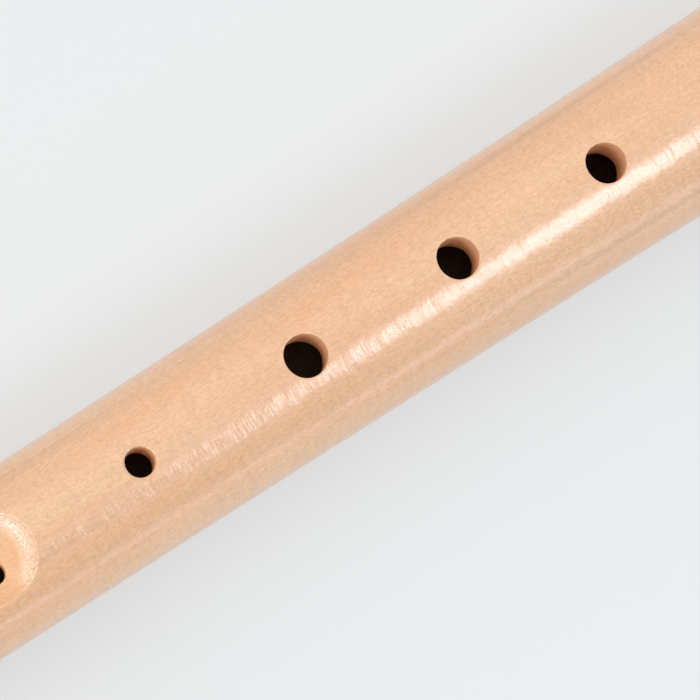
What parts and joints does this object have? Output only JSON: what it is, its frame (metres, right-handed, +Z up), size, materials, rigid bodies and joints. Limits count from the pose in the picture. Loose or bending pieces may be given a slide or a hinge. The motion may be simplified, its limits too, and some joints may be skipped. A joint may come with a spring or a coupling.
{
  "type": "soprano recorder",
  "caption": "Wooden soprano recorder in three joints with beak, block, windway, dished finger holes, corked tenons and a flared foot; joints turn and pull apart.",
  "frame": {"origin": "bottom centre of the whole recorder's box, on the surface that its two widest rings lie on", "axes": "+X along the bore from the foot to the mouthpiece, +Z up out of the finger holes, +Y to the left looking along +X"},
  "size_m": [0.326, 0.0268, 0.0269],
  "materials": {
    "maple": "pale maple under satin clear lacquer",
    "cedar": "bare red cedar",
    "cork": "sheet cork, waxed"
  },
  "bodies": {
    "middle": {"middle_joint": "maple"},
    "upper_cork": {"upper_tenon_cork": "cork"},
    "head": {"head_joint": "maple"},
    "block": {"block": "cedar"},
    "lower_cork": {"lower_tenon_cork": "cork"},
    "foot": {"foot_joint": "maple"}
  },
  "joints": [
    {"name": "head_turn", "type": "hinge", "parent": "middle", "child": "upper_cork", "pos_m": [0.048, 0, 0.01344], "axis": [1, 0, 0], "continuous": true},
    {"name": "head_pull", "type": "slide", "parent": "upper_cork", "child": "head", "axis": [1, 0, 0], "range_m": [0, 0.021]},
    {"name": "block_push", "type": "slide", "parent": "head", "child": "block", "axis": [1, 0, 0], "range_m": [0, 0.043]},
    {"name": "foot_turn", "type": "hinge", "parent": "middle", "child": "lower_cork", "pos_m": [-0.1225, 0, 0.01344], "axis": [1, 0, 0], "continuous": true},
    {"name": "foot_pull", "type": "slide", "parent": "lower_cork", "child": "foot", "axis": [-1, 0, 0], "range_m": [0, 0.011]}
  ]
}
